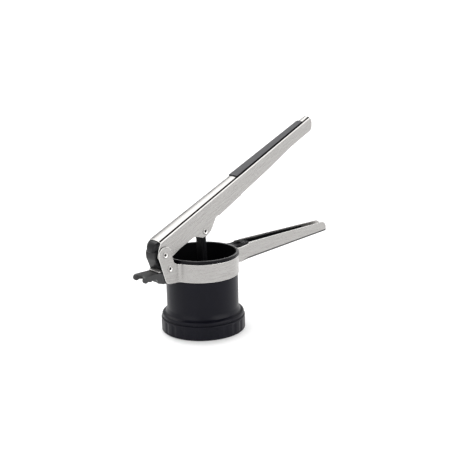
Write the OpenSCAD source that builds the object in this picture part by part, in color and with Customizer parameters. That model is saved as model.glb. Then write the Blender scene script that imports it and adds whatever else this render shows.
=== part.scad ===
// Adjustable potato ricer: black hopper with a turning base, steel band and lower handle,
// and a hinged steel upper handle that drives a press disc down the hopper.
// Row frame: X runs along the lower handle, Z is up, Z = 0 is the table under the base.
// The origin is the bottom centre of the bounding box. Every module below is drawn about
// the hopper's own axis and then moved by axis_x.

/* [Base and hopper] */
// outside radius of the turning base, mm
base_r = 50; // [45:0.5:60]
// height of the turning base, mm
base_h = 17.3; // [12:0.1:24]
// height of the hopper's rim above the table, mm
rim_z = 94.6; // [80:0.1:120]
// inside radius of the hopper, mm
bore_r = 41.4; // [35:0.1:50]
// thickness of the hopper's wall, mm
wall_t = 1.4; // [1.2:0.1:3]
// number of shallow finger scoops around the base
scoops = 24; // [12:1:36]

/* [Sieve] */
// thickness of each perforated disc, mm
disc_t = 1.2; // [0.8:0.1:2]
// holes around each ring of the fixed disc
spokes = 9; // [6:1:12]
// turn between two settings of the base, degrees
step_deg = 13.333; // [10:0.001:20]

/* [Band and lower handle] */
// thickness of the pressed steel, mm
steel_t = 1.2; // [0.8:0.1:2]
// lowest edge of the band, mm
band_z = 68.7; // [60:0.1:80]
// height of the band, mm
band_h = 21.7; // [15:0.1:30]
// outside half width between the hinge ears, mm
ear_w = 12.6; // [10:0.1:16]
// half width the lower handle would have at the hopper's axis, mm
low_w = 12; // [10:0.1:16]
// narrowing of the lower handle on each side per mm of length
low_taper = 0.03; // [0:0.005:0.05]
// distance from the hopper's axis to the lower handle's tip, mm
low_tip = 204; // [160:1:230]

/* [Upper handle] */
// hinge pin, distance behind the hopper's axis, mm
hinge_x = -61.5; // [-70:0.1:-55]
// hinge pin, height above the table, mm
hinge_z = 104.5; // [98:0.1:112]
// slope of the upper handle above level, degrees
lean = 26; // [15:0.5:35]
// outside half width of the upper handle at the hinge, mm
up_w = 10.7; // [9:0.1:14]
// narrowing of the upper handle on each side per mm of length
up_taper = 0.0195; // [0:0.0005:0.03]
// distance from the hinge pin to the upper handle's tip, mm
up_tip = 270.5; // [220:0.5:300]
// start of the soft grip, distance from the hinge pin, mm
grip_from = 133.5; // [100:1:160]
// end of the soft grip, distance from the hinge pin, mm
grip_to = 256.5; // [200:0.5:262]

/* [Plunger] */
// plunger pin along the upper handle from the hinge pin, mm
pin_x = 62; // [50:0.5:75]
// plunger pin below the hinge pin's line, mm
pin_drop = 12.5; // [8:0.5:18]
// radius of the press disc, mm
press_r = 37.6; // [30:0.1:40]
// distance from the plunger pin to the underside of the press disc, mm
reach = 67; // [50:0.5:80]
// lean of the plunger from upright, degrees
rod_lean = 2.9; // [0:0.1:6]

/* [Pot rest] */
// distance from the hopper's axis to the tips of the pot rest, mm
rest_tip = 92; // [80:0.5:100]
// half width of the pot rest, mm
rest_w = 10.4; // [8:0.1:12]
// radius of the knobs at the pot rest's tips
knob_r = 3.8; // [3:0.1:4.5]
// height of the seat under the stop plate
seat_z = 84.95; // [84:0.05:86]

/* [Hidden] */
$fn = 96;

black = [0.09, 0.09, 0.1];
steel = [0.74, 0.73, 0.71];
dark_rubber = [0.2, 0.2, 0.21];

axis_x = (rest_tip - low_tip) / 2;
gap = 0.3;
fit = 0.05;
hair = 0.02;
eps = 0.01;

shell_r = bore_r + wall_t;
band_r = shell_r + 0.15;
band_out = band_r + steel_t;
band_top = band_z + band_h;
ear_in = ear_w - steel_t;
low_ang = atan(low_taper);

foot_in = base_r - 5;
web_z = 11.5;
web_in = 36;
groove_in = 42.7;
groove_out = 44.7;
groove_z = 13.9;
ledge_r = 38.9;
ledge_z = base_h + gap;
selector_r = 38.5;
selector_z = 18.9;
sieve_z = selector_z + disc_t + 0.12;
sieve_top = sieve_z + disc_t;
hole_rings = [33, 26.5, 20];
coarse = [2.6, 2.4, 2.0];
medium = [2.0, 1.9, 1.6];
fine = [1.5, 1.4, 1.2];
stake_r = 1.2;
stake_at = 37.2;

rivet_r = 3;
head_r = 3.9;
head_h = 0.9;
dish_r = 2.3;
dish_d = 0.7;
block_x = -55.6;
block_z = 87.2;

up_len = up_tip + 4;
web_root = 17.4;
web_tip = 13.8;
bend_root = 3.3;
bend_tip = 3;
web_slope = atan((web_root - web_tip) / up_len);

// half width of the upper handle at a distance x from the hinge pin
function up_half(x) = up_w - up_taper * x;
// height of the upper handle's crown at a distance x from the hinge pin
function up_crown(x) = web_root - (web_root - web_tip) * x / up_len;
// half width of the lower handle at a distance x from the hopper's axis
function low_half(x) = low_w - low_taper * x;
// underside of the lower handle
function low_floor(x) = 72.3 + 0.0634 * (x - 51);

// one rounded corner of an outline: arc points between two edges
function unit(v) = v / norm(v);
function arc_pts(a, b, c, r, n) =
    let (u = unit(a - b), w = unit(c - b), half = acos(u * w) / 2)
    let (run = r / tan(half), m = b + unit(u + w) * r / sin(half))
    let (s = b + u * run - m, e = b + w * run - m)
    let (a0 = atan2(s[1], s[0]), d0 = atan2(e[1], e[0]) - a0)
    let (d = d0 > 180 ? d0 - 360 : (d0 < -180 ? d0 + 360 : d0))
    [for (i = [0:n]) m + r * [cos(a0 + d * i / n), sin(a0 + d * i / n)]];
// outline with rounded corners from points [x, y, radius]
function rounded(p, n = 6) = [for (i = [0:len(p) - 1])
    let (a = p[(i + len(p) - 1) % len(p)], b = p[i], c = p[(i + 1) % len(p)])
    each b[2] > 0 ? arc_pts([a[0], a[1]], [b[0], b[1]], [c[0], c[1]], b[2], n) : [[b[0], b[1]]]];

// everything is drawn about the hopper's axis
module placed() {
    translate([axis_x, 0, 0]) children();
}

// frame of the upper handle: origin on the hinge pin, X along the handle
module on_handle() {
    translate([axis_x + hinge_x, 0, hinge_z]) rotate([0, -lean, 0]) children();
}

// frame of the plunger: origin on the plunger pin, Z up the rod
module on_plunger() {
    on_handle() translate([pin_x, 0, -pin_drop]) rotate([0, lean - rod_lean, 0]) children();
}

// outline drawn in X and Z, thick in Y and centred on Y = 0
module side_slab(half) {
    rotate([90, 0, 0]) linear_extrude(height = 2 * half, center = true) children();
}

// round bar along Y
module cross_bar(r, half) {
    rotate([90, 0, 0]) cylinder(r = r, h = 2 * half, center = true);
}

// flat-headed rivet along Y with a dimple in each head
module dished_rivet(r, half) {
    difference() {
        union() {
            cross_bar(r, half + eps);
            for (s = [-1, 1]) {
                translate([0, s * (half + head_h / 2), 0]) rotate([90, 0, 0])
                    cylinder(r1 = s > 0 ? head_r - 0.5 : head_r, r2 = s > 0 ? head_r : head_r - 0.5,
                        h = head_h, center = true);
            }
        }
        for (s = [-1, 1]) {
            translate([0, s * (half + head_h), 0]) rotate([90, 0, 0])
                cylinder(r1 = s > 0 ? dish_r : dish_r - 1,
                    r2 = s > 0 ? dish_r - 1 : dish_r, h = 2 * dish_d, center = true);
        }
    }
}

// ---------------------------------------------------------------- hopper and base

module hopper() {
    color(black) placed() {
        difference() {
            union() {
                rotate_extrude() polygon(hopper_profile());
                hopper_key();
            }
            translate([0, 0, sieve_top]) cylinder(r = bore_r, h = rim_z);
        }
    }
}

// half section of the hopper: spigot, flared shoulder, drum wall, rim and sieve ledge
function hopper_profile() = concat(
    [[ledge_r, ledge_z], [groove_in + gap, ledge_z], [groove_in + gap, groove_z + gap],
     [groove_out - gap, groove_z + gap], [groove_out - gap, ledge_z]],
    [[base_r - 1.6, ledge_z], [base_r - 1.2, ledge_z + 0.5], [base_r - 1.1, ledge_z + 2],
     [base_r - 1.8, ledge_z + 3.3], [base_r - 3, ledge_z + 4.2], [base_r - 4.7, ledge_z + 5],
     [base_r - 5.9, ledge_z + 6.2], [base_r - 6.7, ledge_z + 7.9], [shell_r, ledge_z + 10.4]],
    [[shell_r, band_top + gap], [shell_r + 1.5, band_top + gap], [shell_r + 1.9, band_top + 0.8],
     [shell_r + 1.9, rim_z - 1], [shell_r + 1.6, rim_z - 0.3], [shell_r + 0.9, rim_z],
     [bore_r + 0.8, rim_z], [bore_r + 0.2, rim_z - 0.3], [bore_r, rim_z - 1]],
    [[bore_r, sieve_z], [ledge_r, sieve_z]]);

// block under the rim that keys the hopper between the handle's cheeks
module hopper_key() {
    key_from = bore_r + 0.6;
    key_to = 51.5;
    half = low_half(key_to) - steel_t - 0.8;
    translate([0, 0, band_z + 12]) linear_extrude(height = rim_z - band_z - 13.2)
        polygon(rounded([[key_from, -half - 0.7, 0], [key_to, -half, 1.2],
            [key_to, half, 1.2], [key_from, half + 0.7, 0]]));
}

// perforations: one hole per spoke and ring, turned by a number of settings
module perforations(radii, turn, z0) {
    for (k = [0:len(hole_rings) - 1]) {
        for (i = [0:spokes - 1]) {
            rotate([0, 0, 360 / spokes * i + turn]) translate([hole_rings[k], 0, z0])
                cylinder(r = radii[k], h = 3 * disc_t, $fn = 12);
        }
    }
}

module sieve_disc() {
    color(steel) placed() {
        difference() {
            translate([0, 0, sieve_z]) cylinder(r = bore_r - 0.1, h = disc_t);
            translate([0, 0, sieve_z - 1]) cylinder(r = rivet_r + hair, h = 4);
            perforations(coarse, 0, sieve_z - disc_t);
        }
    }
}

module selector_disc() {
    color(steel) placed() {
        difference() {
            translate([0, 0, selector_z]) cylinder(r = selector_r, h = disc_t);
            translate([0, 0, selector_z - 1]) cylinder(r = rivet_r + fit, h = 4);
            perforations(coarse, -step_deg, selector_z - disc_t);
            perforations(medium, 0, selector_z - disc_t);
            perforations(fine, step_deg, selector_z - disc_t);
            for (i = [0:2]) {
                rotate([0, 0, 120 * i + 7]) translate([stake_at - 0.6, 0, selector_z - 1])
                    cylinder(r = stake_r + hair, h = 4, $fn = 16);
            }
        }
    }
}

module dial_ring() {
    scoop_r = 15;
    color(black) placed() {
        difference() {
            rotate_extrude() polygon(dial_profile());
            for (i = [0:scoops - 1]) {
                rotate([0, 0, 360 / scoops * (i + 0.5)])
                    translate([base_r + scoop_r - 0.9, 0, 2.6]) cylinder(r = scoop_r, h = base_h - 5);
            }
        }
        for (i = [0:2]) {
            rotate([0, 0, 120 * i + 7]) translate([stake_at - 0.6, 0, selector_z - 1])
                cylinder(r = stake_r, h = disc_t + 0.8, $fn = 16);
        }
    }
}

// half section of the turning base
function dial_profile() = concat(
    [[foot_in, 0], [base_r - 1.9, 0], [base_r - 0.7, 0.6], [base_r, 2], [base_r, base_h - 1.6],
     [base_r - 0.4, base_h - 0.5], [base_r - 1.3, base_h]],
    [[groove_out, base_h], [groove_out, groove_z], [groove_in, groove_z], [groove_in, base_h]],
    [[selector_r, base_h], [selector_r, selector_z], [web_in, selector_z], [web_in, web_z],
     [foot_in - 1.5, web_z], [foot_in, web_z - 1.5]]);

module centre_bolt() {
    color(steel) placed() {
        translate([0, 0, selector_z - 4.3]) cylinder(r = 7, h = 2.6);
        translate([0, 0, selector_z - 1.8]) cylinder(r = rivet_r, h = 6.9);
    }
}

module spring_washer() {
    low = selector_z - 1.7;
    color(steel) placed()
        rotate_extrude() polygon([[rivet_r + 0.3, low + 0.7], [rivet_r + 0.3, low + 1.55],
            [6.6, low + 0.85], [6.6, low]]);
}

module centre_nut() {
    color(steel) placed() difference() {
        translate([0, 0, sieve_top]) cylinder(r1 = 6, r2 = 5, h = 2.7);
        translate([0, 0, sieve_top - 1]) cylinder(r = rivet_r + hair, h = 5);
    }
}

// ---------------------------------------------------------------- band and lower handle

// plan of the band, its hinge ears and its handle roots, filled in, for one sheet surface
module band_plan(inset) {
    r = band_out - inset;
    bend = 4 + inset;
    circle(r = r);
    translate([-90, -ear_w + inset]) square([90, 2 * (ear_w - inset)]);
    polygon([[0, -low_w + inset], [90, -low_half(90) + inset],
        [90, low_half(90) - inset], [0, low_w - inset]]);
    for (s = [-1, 1]) {
        bend_fill(r, ear_w - inset, bend, 180, s);
        bend_fill(r, low_w - inset, bend, -s * low_ang, s);
    }
}

// concave bend between a circle of radius r and a straight side at half width w
module bend_fill(r, w, bend, turn, s) {
    cx = sqrt((r + bend) * (r + bend) - (w + bend) * (w + bend));
    cy = w + bend;
    tx = cx * r / (r + bend);
    ty = cy * r / (r + bend);
    rotate(turn) mirror([0, s < 0 ? 1 : 0]) difference() {
        polygon([[tx - 3, w - 1], [tx, ty], [cx, w], [cx, w - 1]]);
        translate([cx, cy]) circle(r = bend);
    }
}

// side view of the ears, the band and the handle's cheeks
module band_side() {
    translate([hinge_x, hinge_z]) circle(r = 9.6);
    polygon(rounded([[hinge_x - 9.6, hinge_z, 0], [hinge_x - 9.2, hinge_z - 3, 6],
        [-61.2, band_z + 0.8, 8], [-46, band_z, 30], [38, band_z, 6], [46, 72, 6], [60, 72.8, 0],
        [60, 91.9, 0], [46, band_top + 0.2, 20], [38, band_top, 0], [-44, band_top, 6],
        [-49.6, 93.4, 5], [hinge_x + 9.4, hinge_z - 2, 0], [hinge_x, hinge_z, 0]]));
}

// side view of the lower handle in front of the hopper
module low_side() {
    polygon(rounded([[52, 60, 0], [low_tip, 60, 0], [low_tip, 95.7, 9], [66.9, 94.5, 1],
        [65.2, 92.3, 1.2], [52, 91.1, 0]]));
}

// solid body of the lower handle between two stations, offset inwards by inset
module low_body(inset, x0, x1) {
    r = 3 - inset;
    hull() {
        for (x = [x0, x1]) {
            for (s = [-1, 1]) {
                translate([x, s * (low_half(x) - 3), low_floor(x) + 3]) rotate([0, 90, 0])
                    cylinder(r = r, h = eps, center = true, $fn = 32);
                translate([x, s * (low_half(x) - inset - 1), 110]) cube([eps, 2, eps], center = true);
            }
        }
    }
}

module band_frame() {
    color(steel) placed() {
        difference() {
            intersection() {
                linear_extrude(height = 140) difference() {
                    band_plan(0);
                    band_plan(steel_t);
                    translate([52, -30]) square([60, 60]);
                }
                side_slab(60) band_side();
            }
            translate([hinge_x, 0, hinge_z]) cross_bar(rivet_r + hair, 20);
            translate([block_x, 0, block_z]) cross_bar(rivet_r + hair, 20);
        }
        intersection() {
            difference() {
                low_body(0, 51.9, low_tip);
                low_body(steel_t, 51.8, low_tip + 1);
            }
            side_slab(30) low_side();
        }
    }
}

module handle_liner() {
    x0 = 69;
    x1 = 176;
    color(black) placed() intersection() {
        difference() {
            low_body(steel_t + hair, x0, x1);
            low_body(steel_t + 1.3, x0 - 1, x1 + 1);
        }
        side_slab(30) polygon(rounded([[x0 - 2, 60, 0], [x1 + 2, 60, 0], [x1 - 6, 93.6, 4],
            [x0 - 2, 92.8, 0]]));
    }
}

module channel_filler() {
    x0 = 52.3;
    x1 = 68.4;
    h0 = low_half(x0) - steel_t - 0.1;
    h1 = low_half(x1) - steel_t - 0.1;
    color(black) placed() difference() {
        translate([0, 0, 79]) linear_extrude(height = 15.4)
            polygon(rounded([[x0, -h0, 1], [x1, -h1, 0.8], [x1, h1, 0.8], [x0, h0, 1]]));
        translate([x0 - 1, -3.2, 92.6]) cube([9, 6.4, 4]);
        side_slab(30) polygon([[x0 - 1, 92.9], [x0 + 5.5, 93.3], [x0 + 6.5, 96], [x0 - 1, 96]]);
    }
}

// ---------------------------------------------------------------- hinge end

module pot_rest() {
    scoop_x = -rest_tip - 4;
    wall_in = rest_w - 3.2;
    color(black) placed() {
        difference() {
            union() {
                side_slab(rest_w) rest_side();
                translate([-69.2, -9.6, 83]) cube([69.2 + block_x - 4, 19.2, seat_z - 83]);
                side_slab(ear_in - 0.1) rest_root();
                translate([block_x, 0, block_z]) cross_bar(3.9, ear_in - 0.1);
            }
            translate([scoop_x, 0, 60]) cylinder(r = 9, h = 40);
            translate([-rest_tip - 1, -wall_in, 60]) cube([rest_tip - 68.2, 2 * wall_in, 22.3]);
            translate([block_x, 0, block_z]) cross_bar(rivet_r + hair, 20);
            translate([0, 0, 60]) cylinder(r = band_out + 0.1, h = 60);
        }
    }
}

// side view of the rest outside the ears: two side walls with a knob at the end and a rim notch
module rest_side() {
    difference() {
        union() {
            polygon(rounded([[-64, 70.2, 0], [-71, 72.4, 1.2], [-82, 76.8, 1], [-86, 77.6, 1],
                [-88.2, 84, 0], [-64, 84, 0]], 5));
            translate([-rest_tip + knob_r, 84 - knob_r]) circle(r = knob_r);
        }
        translate([-76.7, 73.3]) circle(r = 5.3);
    }
}

// side view of the root that fills the space between the ears
module rest_root() {
    polygon(rounded([[-40, 69.6, 0], [-59, 70.2, 3], [-65.4, 70.6, 1.5], [-67.4, 79, 2],
        [-67.4, 84, 0], [block_x - 3.9, 84, 0], [block_x - 3.9, block_z, 0],
        [block_x + 3.9, block_z, 0], [-48, 84, 0], [-40, 84, 0]]));
}

module stop_plate() {
    color(steel) placed() translate([-69.8, -9.6, seat_z + hair])
        cube([69.8 + block_x - 4.1, 19.2, 1]);
}

module pivot_rivet() {
    color(steel) placed() translate([hinge_x, 0, hinge_z]) dished_rivet(rivet_r, ear_w);
}

module block_rivet() {
    color(steel) placed() translate([block_x, 0, block_z]) dished_rivet(rivet_r, ear_w);
}

// thin washers between the ears and the upper handle's cheeks, one solid per side
module pivot_washers() {
    inner = up_half(0) + 0.15;
    color(black) placed() translate([hinge_x, 0, hinge_z]) for (s = [-1, 1]) {
        translate([0, s * (inner + ear_in) / 2, 0]) rotate([90, 0, 0]) difference() {
            cylinder(r = 6, h = ear_in - inner, center = true);
            cylinder(r = rivet_r + hair, h = 5, center = true);
        }
    }
}

// spacer on the hinge pin with a curved tail that closes the gap behind the ears
module hinge_barrel() {
    half = up_half(14) - steel_t - 0.1;
    color(black) placed() difference() {
        union() {
            translate([hinge_x, 0, hinge_z]) cross_bar(8.6, half);
            intersection() {
                side_slab(half) barrel_side();
                on_barrel_cut();
            }
        }
        translate([hinge_x, 0, hinge_z]) cross_bar(rivet_r + fit, 20);
    }
}

// rear wall of the barrel in side view
module barrel_side() {
    difference() {
        union() {
            translate([hinge_x, hinge_z]) circle(r = 12.4);
            polygon(rounded([[hinge_x - 12.35, hinge_z + 1, 0], [hinge_x - 12.1, hinge_z - 4, 10],
                [-68.8, 88, 1], [-66.4, 87.5, 1], [-67.5, 95, 6], [hinge_x - 4, hinge_z - 7, 0],
                [hinge_x, hinge_z, 0]]));
        }
        translate([hinge_x + 2, hinge_z - 30]) square([40, 60]);
    }
}

// keeps the barrel below the end cap's seat
module on_barrel_cut() {
    translate([hinge_x, 0, hinge_z]) rotate([0, -lean, 0]) translate([-40, -30, -60])
        cube([80, 60, 68.9]);
}

// domed plug: as wide as the handle behind the steel, narrower between its cheeks
module end_cap() {
    plug_to = 13;
    full = up_half(0) - 0.15;
    half = up_half(0) - steel_t - 0.15;
    color(black) on_handle() {
        difference() {
            intersection() {
                side_slab(20) cap_side();
                rotate([90, 0, 90]) linear_extrude(height = 60, center = true) cap_end(full);
                linear_extrude(height = 60, center = true) cap_plan(full);
            }
            for (s = [-1, 1]) translate([0, s * (half + 10), 0]) side_slab(10)
                offset(delta = 0.2) up_side();
        }
        intersection() {
            up_body(steel_t + 0.15, 1.7, plug_to);
            translate([0, -20, 9]) cube([plug_to, 40, 20]);
        }
    }
}

// the dome seen from the side, from the end and from above
module cap_side() {
    intersection() {
        translate([1.8, 4]) circle(r = 13.3);
        translate([-20, 9]) square([21.8, 20]);
    }
}

module cap_end(half) {
    polygon(rounded([[-half, 9, 0], [half, 9, 0], [half, 17.2, 5], [-half, 17.2, 5]]));
}

module cap_plan(half) {
    polygon(rounded([[1.8, -half, 0], [1.8, half, 0], [-8.5, half, 6], [-12, 0, 10], [-8.5, -half, 6]]));
}

// ---------------------------------------------------------------- upper handle

// solid body of the upper handle between two stations, offset inwards by inset
module up_body(inset, x0, x1) {
    hull() {
        for (x = [x0, x1]) {
            bend = bend_root + (bend_tip - bend_root) * x / up_len;
            for (s = [-1, 1]) {
                translate([x, s * (up_half(x) - bend), up_crown(x) - bend]) rotate([0, 90, 0])
                    cylinder(r = bend - inset, h = eps, center = true, $fn = 32);
                translate([x, s * (up_half(x) - inset - 1), -30]) cube([eps, 2, eps], center = true);
            }
            translate([x, 0, up_crown(x) + 0.5 - inset]) cube([eps, 1, eps], center = true);
        }
    }
}

// side view of the upper handle
module up_side() {
    circle(r = 9.3);
    translate([pin_x, -pin_drop]) circle(r = 5.9);
    polygon(rounded([[2, 30, 0], [2, 14, 0], [-1.2, 12.4, 3], [-9.3, 3, 5], [-9.2, 0, 0],
        [0, -9.25, 0], [8, -8.8, 10], [22, -7.5, 30], [46, -8.3, 8], [55.5, -16.6, 2],
        [pin_x, -pin_drop, 0], [pin_x + 3.4, -pin_drop - 4.8, 0], [70, -16.6, 4],
        [84, -7.1, 5], [90, -8.7, 5], [128.4, -7.5, 1], [129.8, -6.8, 1], [182, -5.2, 60],
        [225, -2.4, 60], [265.5, -3.1, 7], [up_tip + 0.5, 6, 9], [up_tip - 2, 30, 0]]));
}

module upper_handle() {
    color(steel) on_handle() {
        difference() {
            intersection() {
                difference() {
                    up_body(0, -12, up_tip + 3);
                    up_body(steel_t, -13, up_tip + 4);
                }
                side_slab(40) up_side();
            }
            cross_bar(rivet_r + fit, 20);
            translate([pin_x, 0, -pin_drop]) cross_bar(rivet_r + hair, 20);
            for (x = stud_at) {
                translate([x, 0, 0]) cylinder(r = 2.5 + hair, h = 30);
            }
        }
    }
}

stud_at = [grip_from + 14, (grip_from + grip_to) / 2, grip_to - 14];

// soft pad over the crown of the handle, with studs through the steel
module grip_insert() {
    color(dark_rubber) on_handle() {
        difference() {
            hull() {
                for (x = [grip_from, grip_to]) {
                    for (s = [-1, 1]) {
                        translate([x, s * (up_half(x) - 2.2), up_crown(x) - 0.4]) rotate([0, 90, 0])
                            cylinder(r = 1.5, h = eps, center = true, $fn = 32);
                        translate([x, s * (up_half(x) - 2.1), up_crown(x) - 2])
                            cube([eps, 2, eps], center = true);
                    }
                    translate([x, 0, up_crown(x) + 1.7]) cube([eps, 2, eps], center = true);
                }
            }
            up_body(-2 * fit, grip_from - 5, grip_to + 5);
        }
        for (x = stud_at) {
            translate([x, 0, up_crown(x) - 4.6]) cylinder(r = 2.5, h = 5.4);
        }
    }
}

// keeper strip under the crown that holds the soft pad's studs
module grip_clip() {
    under = steel_t - 0.5 + 0.08;
    color(black) on_handle() difference() {
        intersection() {
            up_body(steel_t + 0.12, grip_from + 4, grip_to - 4);
            translate([0, 0, web_root - under - 2.6]) rotate([0, web_slope, 0])
                translate([0, -20, 0]) cube([up_tip, 40, 10]);
        }
        for (x = stud_at) {
            translate([x, 0, 0]) cylinder(r = 2.5 + hair, h = 30);
        }
    }
}

// ---------------------------------------------------------------- plunger

module plunger_rivet() {
    color(steel) on_handle() translate([pin_x, 0, -pin_drop]) dished_rivet(rivet_r, up_half(pin_x) + 0.08);
}

// tubes on the plunger pin that centre the rod, one solid per side
module rod_spacers() {
    inner = 5.6;
    outer = up_half(pin_x + 8) - steel_t - 0.02;
    color(black) on_handle() translate([pin_x, 0, -pin_drop]) for (s = [-1, 1]) {
        translate([0, s * (inner + outer) / 2, 0]) rotate([90, 0, 0]) difference() {
            cylinder(r = 5, h = outer - inner, center = true);
            cylinder(r = rivet_r + hair, h = 10, center = true);
        }
    }
}

module plunger_rod() {
    half = 5.3;
    top = -reach + 3.2;
    color(black) on_plunger() difference() {
        union() {
            cross_bar(6, half);
            translate([-3.5, -half, top]) cube([7, 2 * half, -top]);
            translate([-1.4, -half - 0.9, top]) cube([2.8, 2 * half + 1.8, -top - 8]);
            translate([0, 0, top]) cylinder(r1 = 11, r2 = 6, h = 7);
        }
        cross_bar(rivet_r + fit, 20);
        translate([0, 0, top - 1]) cylinder(r = 2.2 + hair, h = 14);
    }
}

module press_disc() {
    low = -reach;
    color(black) on_plunger() difference() {
        union() {
            rotate_extrude() polygon([[0, low], [press_r - 0.8, low], [press_r, low + 0.8],
                [press_r, low + 5], [press_r - 0.7, low + 5.4], [press_r - 2, low + 5.4],
                [press_r - 2.4, low + 3.2], [0, low + 3.2]]);
            for (i = [0:5]) {
                rotate([0, 0, 60 * i + 30]) translate([11.3, -0.9, low + 3])
                    cube([press_r - 13, 1.8, 2.2]);
            }
        }
        translate([0, 0, low - 1]) cylinder(r = 2.2 + hair, h = 10);
        translate([0, 0, low - eps]) cylinder(r1 = 5.1, r2 = 2.2 + hair, h = 2.2);
    }
}

module disc_screw() {
    low = -reach;
    color(steel) on_plunger() difference() {
        union() {
            translate([0, 0, low + 0.1]) cylinder(r1 = 4.9, r2 = 2.2, h = 2.1);
            translate([0, 0, low + 2]) cylinder(r = 2.2, h = 13);
        }
        for (a = [0, 90]) {
            rotate([0, 0, a]) translate([-2.6, -0.5, low]) cube([5.2, 1, 1.2]);
        }
    }
}

hopper();
sieve_disc();
selector_disc();
dial_ring();
centre_bolt();
centre_nut();
spring_washer();
band_frame();
handle_liner();
channel_filler();
pot_rest();
stop_plate();
pivot_rivet();
pivot_washers();
block_rivet();
hinge_barrel();
end_cap();
upper_handle();
grip_insert();
grip_clip();
plunger_rivet();
rod_spacers();
plunger_rod();
press_disc();
disc_screw();
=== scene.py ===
"""Looks of an adjustable potato ricer: black hopper on a turning base, satin steel band and handles.

Shapes are worked out in millimetres about the hopper's own axis, or along the upper handle from its
hinge pin, and are then placed in the row frame, in metres.
"""

import math

import bmesh
import bpy
from mathutils import Matrix, Quaternion, Vector


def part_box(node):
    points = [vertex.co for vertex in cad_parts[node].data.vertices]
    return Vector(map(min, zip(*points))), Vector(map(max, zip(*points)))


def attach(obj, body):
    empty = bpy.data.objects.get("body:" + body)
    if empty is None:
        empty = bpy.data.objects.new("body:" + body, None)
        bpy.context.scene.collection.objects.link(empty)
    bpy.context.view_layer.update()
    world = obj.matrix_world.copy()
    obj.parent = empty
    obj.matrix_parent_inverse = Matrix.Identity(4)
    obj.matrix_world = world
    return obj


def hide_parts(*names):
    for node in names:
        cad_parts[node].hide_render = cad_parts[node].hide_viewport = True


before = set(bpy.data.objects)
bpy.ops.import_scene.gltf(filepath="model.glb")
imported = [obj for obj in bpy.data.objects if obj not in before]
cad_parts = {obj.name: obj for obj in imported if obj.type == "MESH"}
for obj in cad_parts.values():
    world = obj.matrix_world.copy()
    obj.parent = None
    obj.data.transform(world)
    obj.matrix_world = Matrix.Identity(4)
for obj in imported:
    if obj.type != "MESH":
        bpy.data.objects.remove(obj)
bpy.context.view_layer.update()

MM = 0.001

# ------------------------------------------------------------------ places read from the frame


def middle(node):
    """Centre of a CAD node's box, in metres."""
    low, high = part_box(node)
    return (low + high) / 2


ring_low, ring_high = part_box("dial_ring")
axis = Vector((middle("dial_ring").x, 0, 0))
hinge = middle("pivot_rivet")
LEAN = math.radians(26)

about_axis = Matrix.Translation(axis) @ Matrix.Scale(MM, 4)
about_hinge = Matrix.Translation(hinge) @ Matrix.Rotation(-LEAN, 4, "Y") @ Matrix.Scale(MM, 4)
upright_at_hinge = Matrix.Translation(hinge) @ Matrix.Scale(MM, 4)

# ------------------------------------------------------------------ sizes, in millimetres

BASE_R = (ring_high.x - ring_low.x) / 2 / MM
BASE_H = 17.3                   # top of the turning base
RIM_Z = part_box("hopper")[1].z / MM
BORE_R = 41.4
SHELL_R = 42.8                  # outside of the hopper's wall
STEEL = 1.2                     # thickness of the sheet
EDGE = 0.42                     # rounding of the sheet's edges
SLIDE = 0.15                    # room between the band and the hopper

BAND_R = SHELL_R + SLIDE + STEEL
BAND_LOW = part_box("band_frame")[0].z / MM
BAND_TOP = BAND_LOW + 21.7
EAR_HALF = 12.6                 # half the distance over the hinge ears
EAR_START = -75                 # where the flat sheet begins, behind the ears
SHEET_BEND = 4                  # radius where the band turns into the ears and the handle
LOW_HALF = 12                   # half width of the lower handle, carried back to the hopper's axis
LOW_TURN = math.atan(0.03)      # how far each of its cheeks closes in
LOW_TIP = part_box("band_frame")[1].x / MM - axis.x / MM

HINGE_X = (hinge.x - axis.x) / MM
HINGE_Z = hinge.z / MM
EAR_R = 9.6

UP_LENGTH = 274.5               # over which the upper handle's depth tapers
UP_TIP = 270.5
GRIP_FROM = 133.5
GRIP_TO = 256.5
PIN_HOLE_R = 3.02

# ------------------------------------------------------------------ outlines


def rounded(corners, steps=6):
    """Closed outline from corners (x, y, radius), each one turned into an arc."""
    out = []
    for i, (x, y, r) in enumerate(corners):
        b = Vector((x, y))
        if r <= 0:
            out.append(b)
            continue
        to_last = (Vector(corners[i - 1][:2]) - b).normalized()
        to_next = (Vector(corners[(i + 1) % len(corners)][:2]) - b).normalized()
        half = to_last.angle(to_next) / 2
        centre = b + (to_last + to_next).normalized() * (r / math.sin(half))
        start = b + to_last * (r / math.tan(half)) - centre
        end = b + to_next * (r / math.tan(half)) - centre
        first = math.atan2(start.y, start.x)
        sweep = (math.atan2(end.y, end.x) - first + math.pi) % math.tau - math.pi
        for k in range(steps + 1):
            t = first + sweep * k / steps
            out.append(centre + Vector((math.cos(t), math.sin(t))) * r)
    return out


def area(loop):
    """Signed area, positive when the loop runs anticlockwise."""
    return sum(a.cross(b) for a, b in zip(loop, loop[1:] + loop[:1])) / 2


def spaced(loop, shortest=0.02):
    """The outline without points that lie on each other."""
    kept = []
    for p in loop:
        if not kept or (p - kept[-1]).length > shortest:
            kept.append(p)
    while (kept[0] - kept[-1]).length <= shortest:
        kept.pop()
    return kept


def inset(loop, distance):
    """An anticlockwise loop moved inwards, or a clockwise one moved outwards."""
    out = []
    for i, b in enumerate(loop):
        before = (b - loop[i - 1]).normalized()
        after = (loop[(i + 1) % len(loop)] - b).normalized()
        n0 = Vector((-before.y, before.x))
        n1 = Vector((-after.y, after.x))
        out.append(b + (n0 + n1) * (distance / max(0.4, 1 + n0.dot(n1))))
    return out


def disc_loop(x, y, r, count=32):
    """A round outline."""
    turns = [math.tau * k / count for k in range(count)]
    return [Vector((x + r * math.cos(t), y + r * math.sin(t))) for t in turns]


# ------------------------------------------------------------------ solids


def everything(bm):
    """All of a mesh's elements, as the cutting tools want them."""
    return bm.verts[:] + bm.edges[:] + bm.faces[:]


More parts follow.
